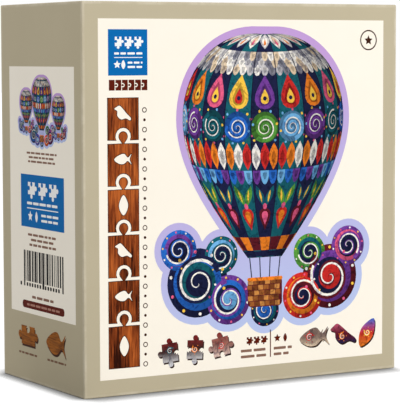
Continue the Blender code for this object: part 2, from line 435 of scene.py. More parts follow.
def ink_surface(ink, tone, roughness, fibre):
    """An ink's tone and gloss, with the fibres of the paper just showing through."""
    ink.set("Base Color", tone)
    ink.set("Roughness", roughness)
    ink.set("Specular IOR Level", PAPER_SHINE)
    ink.bump(fibre, 0.10, FIBRE_RELIEF)
    return ink.material


def plain_ink(name, colour, darker, roughness):
    """One colour of ink on satin paper, with a little cloudiness."""
    ink = Finish(name)
    fibre = ink.noise(FIBRE_SCALE)
    tone = ink.blend(ink.noise(60.0) * 0.35 + fibre * 0.20, srgb(*colour), srgb(*darker))
    return ink_surface(ink, tone, roughness + fibre * 0.12, fibre)


FRONT = wall(LID_LOW, (1, 0, 0), (0, 0, 1))
CREAM_PRINT = plain_ink("cream_print", (252, 245, 231), (243, 234, 217), 0.45)
BLUE_PRINT = plain_ink("blue_print", (2, 106, 176), (0, 96, 164), 0.36)
WHITE_PRINT = plain_ink("white_print", (248, 248, 246), (236, 236, 232), 0.42)


def take_up(item):
    """Brings a new object into the scene as the only one selected."""
    scene.collection.objects.link(item)
    bpy.ops.object.select_all(action="DESELECT")
    item.select_set(True)
    bpy.context.view_layer.objects.active = item


def flat_solid(name, outlines, thick):
    """Closed outlines as one flat solid about its own middle; an outline inside another leaves a hole."""
    curve = bpy.data.curves.new(name, "CURVE")
    curve.dimensions = "2D"
    curve.fill_mode = "BOTH"
    curve.extrude = thick / 2
    for outline in outlines:
        spline = curve.splines.new("POLY")
        spline.points.add(len(outline) - 1)
        for point, (across, up) in zip(spline.points, outline):
            point.co = (across, up, 0.0, 1.0)
        spline.use_cyclic_u = True
    take_up(bpy.data.objects.new(name, curve))
    bpy.ops.object.convert(target="MESH")
    bpy.ops.object.mode_set(mode="EDIT")
    bpy.ops.mesh.select_all(action="SELECT")
    bpy.ops.mesh.remove_doubles(threshold=INK / 10)
    face_outwards()
    return bpy.context.object


def lay_on(skin, side, lift, material, body):
    """Puts a skin of ink on a wall, so many thicknesses of ink above the paper."""
    skin.data.transform(side @ Matrix.Translation((0.0, 0.0, lift * INK)))
    skin.data.materials.append(material)
    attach(skin, body)


def stamp(name, side, outlines, level, material, body="lid"):
    """Prints outlines on a wall as one skin of ink, over so many others."""
    lay_on(flat_solid(name, outlines, INK), side, level + 0.5, material, body)


def panel(left, low, right, high, corner=0.0):
    """A rectangle, with rounded corners if asked."""
    if corner == 0.0:
        return [(left, low), (right, low), (right, high), (left, high)]
    middles = ((right - corner, low + corner), (right - corner, high - corner),
               (left + corner, high - corner), (left + corner, low + corner))
    points = []
    for index, (across, up) in enumerate(middles):
        for step in range(7):
            angle = math.radians(90 * (index - 1) + 15 * step)
            points.append((across + corner * math.cos(angle), up + corner * math.sin(angle)))
    return points


def disc(across, up, radius, count=24, start=0.0):
    """Points round a circle, from an angle on."""
    angles = [start + 2 * math.pi * index / count for index in range(count)]
    return [(across + radius * math.cos(angle), up + radius * math.sin(angle)) for angle in angles]


def star(across, up, radius, points=5, inner=0.48):
    outline = []
    for index in range(2 * points):
        angle = math.pi / 2 + index * math.pi / points
        reach = radius * (inner if index % 2 else 1.0)
        outline.append((across + reach * math.cos(angle), up + reach * math.sin(angle)))
    return outline


def jigsaw(left, low, right, high, tabs, knob=0.15, turn=0.0):
    """A jigsaw piece; tabs gives a knob (1), a socket (-1) or nothing (0) for low, right, high, left."""
    corners = [Vector(corner) for corner in panel(left, low, right, high)]
    middle = (corners[0] + corners[2]) / 2
    radius = knob * min(right - left, high - low)
    rise = 0.78
    widest = math.acos(-rise)
    points = []
    for index, tab in enumerate(tabs):
        start = corners[index]
        end = corners[(index + 1) % 4]
        points.append(start)
        if tab:
            along = (end - start).normalized()
            out = Vector((along.y, -along.x)) * tab
            head = (start + end) / 2 + out * rise * radius
            for step in range(13):
                angle = widest * (step / 6 - 1)
                points.append(head + radius * (out * math.cos(angle) + along * math.sin(angle)))
    spin = Matrix.Rotation(math.radians(turn), 2)
    return [tuple(middle + spin @ (point - middle)) for point in points]


def smooth_outline(points, across, up, size, turn=0.0, steps=4):
    """A closed curve through a figure's points, about a middle, sized and turned."""
    spin = Matrix.Rotation(math.radians(turn), 2)
    count = len(points)
    outline = []
    for index in range(count):
        knots = [Vector(points[(index + shift) % count]) for shift in (-1, 0, 1, 2)]
        for step in range(steps):
            share = step / steps
            ahead = (knots[2] - knots[0]) * share
            ahead += (2 * knots[0] - 5 * knots[1] + 4 * knots[2] - knots[3]) * share ** 2
            ahead += (3 * knots[1] - knots[0] - 3 * knots[2] + knots[3]) * share ** 3
            place = spin @ ((knots[1] + ahead / 2) * size)
            outline.append((across + place.x, up + place.y))
    return outline


LEAF = ((0.00, -0.90), (0.38, -0.40), (0.42, 0.20), (0.00, 0.90), (-0.42, 0.20), (-0.38, -0.40))


def piece_marks(left, low, wide, tall, pitch, knob=0.2):
    """Three small pieces side by side."""
    starts = [left + pitch * index for index in range(3)]
    return [jigsaw(start, low, start + wide, low + tall, (1, 1, -1, -1), knob) for start in starts]


def plain_lines(left, low, right, high, rows, seed, centred=False):
    """Lines of plain bars of uneven length."""
    chance = random.Random(seed)
    pitch = (high - low) / rows
    bars = []
    for row in range(rows):
        bottom = high - (row + 0.82) * pitch
        length = (right - left) * (1.0 if row == 0 else chance.uniform(0.72, 1.0))
        start = (left + right - length) / 2 if centred else left
        end = start + length
        while start < end - 0.3 * pitch:
            stop = min(end, start + pitch * chance.uniform(1.1, 2.8))
            bars.append(panel(start, bottom, stop, bottom + 0.46 * pitch, 0.12 * pitch))
            start = stop + 0.38 * pitch
    return bars


stamp("front_cream_panel", FRONT, [panel(7.2, 6.9, 147.0, 153.1)], 0, CREAM_PRINT)
stamp("front_blue_label", FRONT, [panel(11.7, 130.2, 29.7, 148.8)], 1, BLUE_PRINT)
label_marks = piece_marks(14.8, 142.0, 3.0, 3.8, 4.5)
label_marks += plain_lines(14.5, 138.3, 27.4, 140.2, 1, 31) + [panel(14.5, 137.3, 27.4, 137.6)]
label_marks += [star(15.8, 134.6, 1.7), smooth_outline(LEAF, 18.6, 134.6, 2.0)]
label_marks += plain_lines(20.6, 132.9, 27.4, 136.4, 2, 32)
stamp("front_label_marks", FRONT, label_marks, 2, WHITE_PRINT)

# Column of wood-grain pieces that interlock down the panel's left side, each with a dark cut line and a
# figure cut out of it. A strip of small pieces lies over it, and a rule of rings and dots beside it.
FISH = ((-0.90, 0.00), (-0.45, -0.36), (0.05, -0.40), (0.45, -0.15), (0.80, -0.44), (0.64, 0.00),
        (0.80, 0.44), (0.45, 0.15), (0.10, 0.48), (-0.45, 0.36))
BIRD = ((-0.86, 0.40), (-0.58, 0.22), (-0.56, -0.20), (-0.20, -0.52), (0.30, -0.44), (0.68, -0.62),
        (0.78, -0.42), (0.35, 0.00), (-0.05, 0.44), (-0.34, 0.68), (-0.62, 0.58))
GRAIN_LIGHT = srgb(186, 96, 40)
GRAIN_MIDDLE = srgb(126, 56, 22)
GRAIN_DARK = srgb(44, 14, 4)
COLUMN_LOW = 10.6
COLUMN_COUNT = 6
COLUMN_STEP = (122.0 - COLUMN_LOW) / COLUMN_COUNT
RULE_COUNT = 27
RULE_PITCH = 4.0
RED_PRINT = plain_ink("red_brown_print", (96, 26, 10), (72, 15, 5), 0.40)
BROWN_PRINT = plain_ink("dark_brown_print", (66, 34, 20), (42, 20, 12), 0.40)


def printed_wood(name, grain):
    """A printed picture of brown wood: long streaks along one axis (0 is X, 2 is Z) over bands of tone."""
    wood = Finish(name)
    fine = [9.0, 9.0, 9.0]
    fine[grain] = 0.55
    broad = [2.0, 2.0, 2.0]
    broad[grain] = 0.6
    streak = wood.noise(150.0, 5.0, 0.65, 0.4, stretch=fine)
    mixed = streak * 0.62 + wood.noise(55.0, stretch=broad) * 0.60
    tone = wood.ramp(mixed, (0.48, GRAIN_DARK), (0.60, GRAIN_MIDDLE), (0.73, GRAIN_LIGHT))
    return ink_surface(wood, tone, 0.40 + streak * 0.1, wood.noise(FIBRE_SCALE))


def take_in(outline, distance):
    """Moves an outline's points inwards by a distance."""
    moved = []
    for index, place in enumerate(outline):
        here = Vector(place)
        before = here - Vector(outline[index - 1])
        after = Vector(outline[(index + 1) % len(outline)]) - here
        along = (before.normalized() + after.normalized()).normalized()
        stretch = 1 / max(0.5, along.dot(after.normalized()))
        moved.append(tuple(here + Vector((-along.y, along.x)) * distance * stretch))
    return moved


def interlocked(left, low, wide, tall, count, knob, upright=False):
    """Pieces that lock into one another, side by side or, if upright, from the foot up."""
    row = []
    for index in range(count):
        before = -1 if index else 0
        after = 1 if index < count - 1 else 0
        if upright:
            place = (left, low + index * tall)
            tabs = (before, 0, after, 0)
        else:
            place = (left + index * wide, low)
            tabs = (0, after, 0, before)
        row.append(jigsaw(*place, place[0] + wide, place[1] + tall, tabs, knob))
    return row


column_cuts = []
column_wood = []
for index, whole in enumerate(interlocked(10.5, COLUMN_LOW, 15.7, COLUMN_STEP, COLUMN_COUNT, 0.18, True)):
    window_up = COLUMN_LOW + COLUMN_STEP * (index + (0.62 if index else 0.52))
    window = smooth_outline((LEAF, FISH, BIRD)[index % 3], 18.35, window_up, 4.6)
    column_cuts += [take_in(whole, 0.65), window]
    column_wood += [take_in(whole, 0.95), take_in(window, -0.3)]
stamp("front_column_cut_lines", FRONT, column_cuts, 1, BROWN_PRINT)
stamp("front_wood_column", FRONT, column_wood, 2, printed_wood("wood_grain_print", 2))
strip = [take_in(whole, 0.2) for whole in interlocked(11.8, 124.0, 3.0, 4.7, 6, 0.22)]
stamp("front_piece_strip", FRONT, strip, 1, RED_PRINT)
beads = []
for index in range(RULE_COUNT):
    bead = (28.2, 12.2 + index * RULE_PITCH)
    beads += [disc(*bead, 0.6, 12)] if index % 2 else [disc(*bead, 1.1), disc(*bead, 0.72)]
stamp("front_fine_rule", FRONT, beads, 1, BROWN_PRINT)

# Ring with a star in the panel's upper right corner, and notes at its foot: two groups of plain lines
# under small marks, with an upright rule between them. All are ink on the cream panel.
CAPTION_PRINT = plain_ink("caption_print", (140, 106, 90), (122, 90, 74), 0.42)
ring = [disc(139.1, 144.6, 4.4, 40), disc(139.1, 144.6, 3.85, 40), star(139.1, 144.5, 2.2)]
stamp("front_ring", FRONT, ring, 1, BROWN_PRINT)
notes = plain_lines(74.0, 10.2, 87.3, 15.2, 2, 5) + plain_lines(90.4, 10.2, 99.6, 15.2, 2, 6)
stamp("front_notes", FRONT, notes, 1, CAPTION_PRINT)
note_marks = piece_marks(76.9, 16.6, 2.6, 2.8, 3.6, 0.15)
note_marks += [star(92.2, 18.0, 1.8), smooth_outline(LEAF, 96.2, 18.0, 2.0), panel(88.5, 10.2, 89.0, 21.9)]
stamp("front_note_marks", FRONT, note_marks, 1, RED_PRINT)

# Printed picture: a patterned hot-air balloon over curling clouds. It is painted as patches of ink, one
# over another, and these are cut along each other's outlines, so that one flat sheet of what lies on top
# is left.
CUT_EXACTNESS = 0.0001
FINE_SCALE = 0.4
EDGE_TURN = 1.5
BULGE = 40.0
TALL = 94.0
MOUTH = 8.5
ARC = 125.0
GORES = 9
GORE_TURN = math.pi / GORES
BASKET_LOW = -TALL - 20.6
ROPE_LONG = 9.0
NAVY = srgb(24, 30, 66)
TEAL = srgb(18, 92, 104)
RED = srgb(206, 44, 40)
ORANGE = srgb(236, 128, 36)
PINK = srgb(226, 92, 132)
PURPLE = srgb(112, 60, 150)
GREEN = srgb(84, 150, 60)
BLUE = srgb(38, 104, 196)
SKY = srgb(110, 176, 226)
YELLOW = srgb(244, 196, 70)
PEARL = srgb(240, 236, 228)
STONE = srgb(196, 194, 196)
SMOKE = srgb(128, 128, 140)
SAND = srgb(222, 200, 170)
MAROON = srgb(92, 22, 34)
LAVENDER = srgb(192, 156, 212)
PERIWINKLE = srgb(182, 194, 232)
WICKER = (srgb(150, 88, 40), srgb(196, 132, 66), srgb(112, 60, 28))


def picture_print():
    """Ink in many colours: the patches' own tones with fine brushed streaks through them."""
    ink = Finish("picture_print")
    tint = ink.node("ShaderNodeAttribute", output="Color", attribute_name="ink")
    brushed = ink.node("ShaderNodeAttribute", output="Alpha", attribute_name="ink")
    brush = ink.noise(300.0, 4.0, 0.6, 1.8)
    strokes = ink.ramp(brush, (0.36, (0.50, 0.48, 0.56)), (0.50, (1.0, 1.0, 1.0)),
                       (0.66, (1.18, 1.12, 1.05)))
    tone = ink.blend(brushed, tint, ink.blend(1.0, tint, strokes, "MULTIPLY"))
    return ink_surface(ink, tone, 0.36 + brush * 0.12, ink.noise(FIBRE_SCALE))


PICTURE_PRINT = picture_print()
Patch = namedtuple("Patch", "lift outline paint brushed")


class Picture:
    """Patches of ink, painted one over another, that become one flat printed sheet on a wall."""

    def __init__(self):
        self.patches = []

    def patch(self, outline, paint, lift, brushed=1.0):
        """Adds a patch; paint is its colour, or a function that gives the colour at a place."""
        outline = [Vector(place) for place in outline]
        ahead = outline[1:] + outline[:1]
        if sum(here.cross(there) for here, there in zip(outline, ahead)) < 0:
            outline.reverse()
        self.patches.append(Patch(lift, outline, paint, brushed))

    def printed(self, name, side, body="lid"):
        """Makes the sheet: every face takes its colours from the topmost patch that it lies in."""
        self.patches.sort(key=lambda patch: patch.lift)
        points = []
        loops = []
        for patch in self.patches:
            loops.append(range(len(points), len(points) + len(patch.outline)))
            points += patch.outline
        cut = geometry.delaunay_2d_cdt(points, [], loops, 1, CUT_EXACTNESS)
        places = cut[0]
        faces = [(face, max(patches)) for face, patches in zip(cut[2], cut[5]) if patches]
        tones = {}
        inks = []
        for face, top in faces:
            patch = self.patches[top]
            for vertex in face:
                if (top, vertex) not in tones:
                    paint = patch.paint(places[vertex]) if callable(patch.paint) else patch.paint
                    tones[top, vertex] = (*paint, patch.brushed)
                inks += tones[top, vertex]
        mesh = bpy.data.meshes.new(name)
        mesh.from_pydata([place.to_3d() for place in places], [], [face for face, top in faces])
        mesh.attributes.new("ink", "FLOAT_COLOR", "CORNER").data.foreach_set("color", inks)
        sheet = bpy.data.objects.new(name, mesh)
        take_up(sheet)
        bpy.ops.object.mode_set(mode="EDIT")
        pick(sheet, "EDGE", at_border)
        bpy.ops.mesh.extrude_edges_move()
        bpy.ops.transform.translate(value=(0.0, 0.0, -INK))
        bpy.ops.mesh.fill()
        face_outwards()
        lay_on(sheet, side, 2, PICTURE_PRINT, body)


def darken(colour, share):
    """A colour made darker, or paler if the share is over 1."""
    return tuple(max(0.0, min(1.0, value * share)) for value in colour)


def mix(first, second, share):
    """The colour part of the way from one to another."""
    share = max(0.0, min(1.0, share))
    return tuple(a + (b - a) * share for a, b in zip(first, second))


def shifted(outline, place, scale=1.0):
    return [(place[0] + scale * across, place[1] + scale * up) for across, up in outline]


def drop_shape(wide, tall):
    """A drop with its point up, or down where its height is negative."""
    turns = [2 * math.pi * index / 18 for index in range(18)]
    return [(-wide * math.sin(turn) * abs(math.sin(turn / 2)) ** 1.4, tall * math.cos(turn))
            for turn in turns]


def lens_shape(wide, tall, count=7):
    shares = [index / count for index in range(count)]
    right = [(wide * math.sin(math.pi * share), tall * (2 * share - 1)) for share in shares]
    return right + [(-across, -up) for across, up in right]


def scallop_shape(wide, tall, count=8):
    turns = [math.pi * (1 + index / count) for index in range(count + 1)]
    return [(wide * math.cos(turn), tall * math.sin(turn)) for turn in turns]


def strip_shape(half, rows, first=0):
    """A strip from the balloon's crown to its mouth, this far to either side."""
    side = [(half, -index / rows * ARC) for index in range(first, rows + 1)]
    return [(-across, up) for across, up in side] + side[::-1]


def curl_shape(radius, turns, thick, start=0.0, steps=40):
    """A ribbon that curls in to a point in the middle."""
    outer = []
    inner = []
    for index in range(steps + 1):
        share = index / steps
        angle = start + 2 * math.pi * turns * share
        reach = radius * (1 - 0.94 * share)
        half = thick / 2 * (1 - 0.75 * share)
        outer.append(((reach + half) * math.cos(angle), (reach + half) * math.sin(angle)))
        inner.append(((reach - half) * math.cos(angle), (reach - half) * math.sin(angle)))
    return outer + inner[::-1]


def envelope(turn, down):
    """A point of the balloon's skin: turn is round from the middle, down runs from crown to mouth."""
    down = max(0.0, min(1.0, down))
    turn = max(-math.pi / 2, min(math.pi / 2, turn))
    if down < 0.5:
        radius = BULGE * math.sin(math.pi * down)
        drop = BULGE * (1 - math.cos(math.pi * down))
    else:
        radius = MOUTH + (BULGE - MOUTH) * math.cos(math.pi * (down - 0.5))
        drop = BULGE + (TALL - BULGE) * (2 * down - 1)
    bow = 5.0 * (1 - math.cos(turn)) * math.sin(math.pi * down)
    return (radius * math.sin(turn), bow - drop)


def envelope_edge(margin, steps=40):
    """The balloon's outer edge, moved out by a margin."""
    side = [Vector(envelope(math.pi / 2, index / steps)) for index in range(steps + 1)]
    right = []
    for index, place in enumerate(side):
        ahead = side[min(index + 1, steps)] - side[max(index - 1, 0)]
        right.append(place + Vector((-ahead.y, ahead.x)).normalized() * margin)
    right = [tuple(place) for place in right if place.x >= 0.0]
    return [(-across, up) for across, up in right] + right[::-1]


def balloon(picture, top, scale):
    """The balloon with its bands of pattern, ropes and basket."""
    def lit(colour):
        """The colour under a light from the upper left, which the round skin turns away from."""
        def paint(spot):
            fall = max(0.0, (top.y - spot.y) / scale)
            if fall < BULGE:
                down = math.acos(1 - fall / BULGE) / math.pi
            else:
                down = min(1.0, 0.5 + (fall - BULGE) / (TALL - BULGE) / 2)
            reach = max(0.1, envelope(math.pi / 2, down)[0])
            turn = math.asin(max(-1.0, min(1.0, (spot.x - top.x) / scale / reach)))
            return darken(colour, 0.56 + 0.50 * max(0.0, math.cos(turn + 0.45)) - 0.22 * down)
        return paint

    def lay(turn, down, outline, colour, lift):
        places = [envelope(turn + across / BULGE, down - up / ARC) for across, up in outline]
        picture.patch(shifted(places, top, scale), lit(colour), lift)

    fine = scale > FINE_SCALE
    rows = 30 if fine else 15
    steps = 40 if fine else 16
    half = GORE_TURN / 2 * BULGE
    for gore in range(GORES):
        middle = (gore + 0.5 - GORES / 2) * GORE_TURN
        odd = gore % 2
        warm = (RED, ORANGE, PINK, YELLOW, PURPLE)[gore % 5]
        cool = (BLUE, GREEN, SKY, PURPLE, TEAL)[(gore + 2) % 5]
        bands = [
            (0.0, strip_shape(half, rows), TEAL if odd else NAVY, 3),
            (0.100, lens_shape(6.8, 10.0), PEARL if odd else STONE, 4),
            (0.112, lens_shape(3.6, 7.0), SAND if odd else PEARL, 5),
            (0.130, drop_shape(1.9, 3.4), PINK if odd else ORANGE, 6),
            (0.368, drop_shape(7.4, 8.0), warm, 8),
            (0.378, drop_shape(4.6, 5.2), darken(warm, 0.5), 9),
            (0.386, drop_shape(3.0, 3.5), YELLOW if gore % 5 != 3 else RED, 10),
            (0.394, disc(0, 0, 1.0, 10), NAVY, 11),
            (0.496, disc(0, 0, 7.0, 28), darken(cool, 0.45), 8),
            (0.496, curl_shape(6.0, 2.3, 2.2, gore, steps), cool, 9),
            (0.496, curl_shape(4.9, 2.0, 0.7, gore + 0.5, steps), PEARL, 10),
            (0.800, disc(0, 0, 1.5, 10), PINK, 12),
            (0.850, drop_shape(6.4, -5.4), RED if odd else MAROON, 8),
            (0.846, drop_shape(3.6, -3.4), ORANGE if odd else PINK, 9),
            (0.945, panel(-half * 0.94, -3.4, half * 0.94, 3.0), MAROON if odd else ORANGE, 8),
            (0.985, panel(-half, -1.4, half, 1.2), NAVY, 9),
        ]
        for index in range(9):
            angle = 2 * math.pi * index / 9 + gore
            dot = disc(8.2 * math.cos(angle), 7.6 * math.sin(angle), 0.62, 8)
            if fine and abs(middle + 8.2 * math.cos(angle) / BULGE) < EDGE_TURN:
                bands.append((0.496, dot, (YELLOW, PINK, SKY)[index % 3], 9))
        for lean in (-1, 1):
            leaf = [(across + lean * (up * 0.45 + 3.0), up) for across, up in lens_shape(2.3, 5.2)]
            vein = [(across * 0.3 + lean * 1.9, up * 0.6) for across, up in leaf]
            bands += [(0.760, leaf, GREEN if odd else TEAL, 10), (0.760, vein, YELLOW, 11)]
        for down, outline, colour, lift in bands:
            lay(middle, down, outline, colour, lift)
        for index in range(3):
            for row, down in enumerate((0.262, 0.230, 0.198)):
                aside = middle + (index - 1 + 0.5 * (row % 2)) * half * 2 / 3 / BULGE
                tone = (PEARL, STONE, SMOKE, SAND)[(index + row + gore) % 4]
                lay(aside, down, scallop_shape(half / 3 + 0.4, 6.0), tone, 4 + row)
                lay(aside, down + 0.012, scallop_shape(half / 6, 3.0), darken(tone, 0.62), 7)
            aside = middle + (index - 1) * half * 2 / 3 / BULGE
            flame = (ORANGE, PEARL, RED)[(index + gore) % 3]
            lay(aside, 0.605, lens_shape(2.5, 6.6), flame, 10)
            lay(aside, 0.610, lens_shape(1.2, 3.8), darken(flame, 0.55), 11)
            tone = (BLUE, PURPLE, SKY)[(index + gore) % 3]
            lay(aside, 0.660, scallop_shape(half / 3 + 0.2, 6.8), tone, 8)
            lay(aside, 0.668, scallop_shape(half / 6, 3.4), darken(tone, 0.5), 9)
    for seam in range(1, GORES):
        lay((seam - GORES / 2) * GORE_TURN, 0.0, strip_shape(0.30, rows, 1), darken(NAVY, 0.6), 13)
    hung = []
    for side in (-7.6, -2.6, 2.6, 7.6):
        foot = side * 0.86
        rope = [(side - 0.25, -TALL), (foot - 0.25, -TALL - ROPE_LONG)]
        rope += [(foot + 0.25, -TALL - ROPE_LONG), (side + 0.25, -TALL)]
        hung.append((rope, darken(NAVY, 0.6), 13))
    for row in range(5):
        for column in range(6):
            left = -7.6 + column * 2.54 - (0.6 if row % 2 else 0.0)
            low = BASKET_LOW + row * 2.3
            brick = panel(left, low, left + 2.3, low + 2.0)
            brick = [(across * (1 + 0.01 * (up + TALL + 20)), up) for across, up in brick]
            hung.append((brick, WICKER[(row + 2 * column) % 3], 13))
    hung.append((panel(-8.6, BASKET_LOW - 0.4, 8.6, BASKET_LOW + 12.0, 2.0), MAROON, 12))
    hung.append((panel(-8.8, BASKET_LOW + 10.7, 8.8, BASKET_LOW + 12.2, 0.7), ORANGE, 14))
    for outline, colour, lift in hung:
        picture.patch(shifted(outline, top, scale), colour, lift)


def cloud(picture, place, radius, tones, lift, start, fine):
    """A round cloud of nested rings with a curl of pale ink and a row of dots on it."""
    def lit(tone):
        def paint(spot):
            height = (spot.y - place[1]) / radius - 0.6 * (spot.x - place[0]) / radius
            return darken(tone, 0.78 + 0.30 * height)
        return paint

    for index, tone in enumerate(tones):
        picture.patch(disc(*place, radius * (1 - 0.2 * index), 30), lit(tone), lift + index)
    last = lift + len(tones)
    steps = 40 if fine else 16
    broad = curl_shape(radius * 0.78, 1.9, radius * 0.20, start, steps)
    slim = curl_shape(radius * 0.70, 1.8, radius * 0.09, start + 0.4, steps)
    picture.patch(shifted(broad, place), tones[0], last)
    picture.patch(shifted(slim, place), PEARL, last + 1)
    if fine:
        for index, spot in enumerate(disc(*place, radius * 0.90, 10, start)):
            picture.patch(disc(*spot, radius * 0.05, 8), (YELLOW, PEARL, PINK)[index % 3], last + 1)


CLOUDS = (
    (-33.0, -103.0, 14.5, (NAVY, BLUE, TEAL, NAVY), 0.4),
    (-18.0, -111.0, 10.5, (PURPLE, BLUE, NAVY, SKY), 1.7),
    (-42.0, -89.0, 8.5, (BLUE, PURPLE, NAVY), 3.0),
    (-21.5, -92.0, 8.0, (TEAL, SKY, NAVY), 4.1),
    (33.0, -104.0, 14.0, (MAROON, PURPLE, NAVY, RED), 2.2),
    (19.0, -111.5, 10.0, (RED, ORANGE, MAROON, NAVY), 0.2),
    (42.5, -91.0, 8.5, (PURPLE, PINK, NAVY), 5.2),
    (22.5, -93.0, 8.0, (GREEN, TEAL, NAVY), 2.9),
    (0.0, -116.5, 7.0, (NAVY, TEAL, BLUE), 1.1),
)


def paint_scene(picture, top, scale, margin):
    """The balloon and its clouds, with a pale border that runs from lavender to a cool blue round them."""
    top = Vector(top)

    def border_tint(spot):
        across = (spot.x - top.x) / (100 * scale) + 0.5
        down = (top.y - spot.y) / (124 * scale)
        return mix(LAVENDER, PERIWINKLE, 1.25 * down + 0.25 * across - 0.30)

    borders = [envelope_edge(margin / scale), panel(-16.0, -TALL - 24.0, 16.0, -TALL + 4.0, 3.0)]
    borders += [disc(across, up, radius + margin / scale, 36) for across, up, radius, tones, start in CLOUDS]
    for outline in borders:
        picture.patch(shifted(outline, top, scale), border_tint, 0, 0.0)
    for index, (across, up, radius, tones, start) in enumerate(CLOUDS):
        place = (top.x + scale * across, top.y + scale * up)
        cloud(picture, place, radius * scale, tones, 3 + index * 0.1, start, scale > FINE_SCALE)
    balloon(picture, top, scale)


front_picture = Picture()
paint_scene(front_picture, (86.0, 147.0), 1.0, 3.0)
front_picture.printed("front_picture", FRONT)

# Row of printed pieces under the picture: three with knobs and three figures, each shown as a cut piece
# of the picture, with the dark edge of the board below it. They too are patches cut into one flat sheet.
EDGE_SHIFT = (0.45, -0.65)
INNER_SHARE = 0.74
EDGE_BROWN = srgb(48, 26, 16)
GREY_BROWN = srgb(128, 106, 96)
BLACK_BROWN = srgb(66, 42, 40)
PALE_GREY = srgb(216, 216, 218)
DARK_RED = srgb(124, 30, 30)
ROSE = srgb(216, 190, 178)
ROSE_BROWN = srgb(156, 108, 96)
PLUM = srgb(176, 76, 104)
FISH_TONES = (SAND, GREY_BROWN, GREY_BROWN, RED)
BIRD_TONES = (NAVY, MAROON, PLUM, ORANGE)
LEAF_TONES = (ORANGE, RED, BLUE, YELLOW)
PIECE_TONES = (PALE_GREY, BLACK_BROWN, DARK_RED, TEAL)
DARK_TONES = (PALE_GREY, BLACK_BROWN, DARK_RED, ORANGE)
ROSE_TONES = (ROSE, ROSE_BROWN, DARK_RED, RED)
RAISED_KNOBS = (1, -1, 1, 1)
TWO_SOCKETS = (1, -1, 1, -1)
ONE_SOCKET = (-1, 1, 1, 1)


def cut_piece(picture, outline, tones, place, radius, start):
    """A piece of the picture: its dark edge, its face in three tones from foot to crown, and a pale curl."""
    foot, waist, crown, curl = tones
    high = max(up for across, up in outline)
    low = min(up for across, up in outline)

    def face_tone(spot):
        share = 2 * (spot.y - low) / (high - low)
        return mix(foot, waist, share) if share < 1 else mix(waist, crown, share - 1)

    def inner_tone(spot):
        return darken(face_tone(spot), 0.84)

    picture.patch(shifted(outline, EDGE_SHIFT), EDGE_BROWN, 0)
    picture.patch(outline, face_tone, 1)
    picture.patch(shifted(outline, Vector(place) * (1 - INNER_SHARE), INNER_SHARE), inner_tone, 1.5)
    picture.patch(shifted(curl_shape(radius, 1.6, radius * 0.45, start), place), curl, 2)
    picture.patch(shifted(curl_shape(radius * 0.8, 1.4, radius * 0.16, start + 0.5), place), PEARL, 3)
    for spot in disc(*place, radius * 1.35, 5, start):
        picture.patch(disc(*spot, radius * 0.13, 8), curl, 2)


piece_row = Picture()
for row_piece in (
        (jigsaw(36.0, 12.0, 43.4, 19.8, RAISED_KNOBS, 0.16, 5), PIECE_TONES, (39.6, 16.6), 1.5, 0.6),
        (jigsaw(47.8, 12.4, 55.4, 20.2, TWO_SOCKETS, 0.16, -4), DARK_TONES, (51.6, 16.4), 1.5, 2.1),
        (jigsaw(60.2, 12.6, 68.2, 20.4, ONE_SOCKET, 0.16, 9), ROSE_TONES, (64.3, 17.2), 1.5, 3.9),
        (smooth_outline(FISH, 111.4, 16.8, 8.8, 4), FISH_TONES, (108.6, 17.0), 1.9, 0.3),
        (smooth_outline(BIRD, 126.4, 17.2, 7.6, 8), BIRD_TONES, (125.8, 16.2), 1.6, 1.3),
        (smooth_outline(LEAF, 138.8, 17.0, 7.8, -32), LEAF_TONES, (139.0, 17.0), 1.6, 2.6)):
    cut_piece(piece_row, *row_piece)
piece_row.printed("front_piece_row", FRONT)

# Side walls of the lid: a cream panel with three small balloons, a blue label, plain captions and a red
# pill, and two bare wooden pieces under it. The left wall also has a made-up pattern of bars.
LEFT = wall((LID_LOW.x, cad_high.y, LID_LOW.z), (0, -1, 0), (0, 0, 1))
RIGHT = wall((LID_HIGH.x, LID_LOW.y, LID_LOW.z), (0, 1, 0), (0, 0, 1))
WOOD_EDGE_SHIFT = (0.7, -0.9)
BALLOON_SCALES = (0.15, 0.15, 0.235)
BARS_LEFT = 22.2
BARS_RIGHT = 59.0
BARS_LOW = 43.0
BARS_HIGH = 56.1
GUARDS_LOW = 40.8
GOLD_LIGHT = srgb(164, 98, 38)
GOLD_DARK = srgb(108, 60, 20)
BLACK_PRINT = plain_ink("black_print", (28, 26, 28), (16, 15, 17), 0.40)
PALE_LINE_PRINT = plain_ink("pale_line_print", (176, 128, 112), (160, 112, 98), 0.42)
FAINT_PRINT = plain_ink("faint_brown_print", (124, 92, 72), (104, 74, 56), 0.42)


def gold_wood():
    """A printed picture of pale plywood, with fine grain along the piece."""
    wood = Finish("gold_wood_print")
    streak = wood.noise(240.0, 4.0, 0.6, stretch=(0.6, 0.6, 5.0))
    tone = wood.ramp(streak, (0.36, GOLD_DARK), (0.62, GOLD_LIGHT))
    return ink_surface(wood, tone, 0.42 + streak * 0.1, wood.noise(FIBRE_SCALE))


GOLD_PRINT = gold_wood()


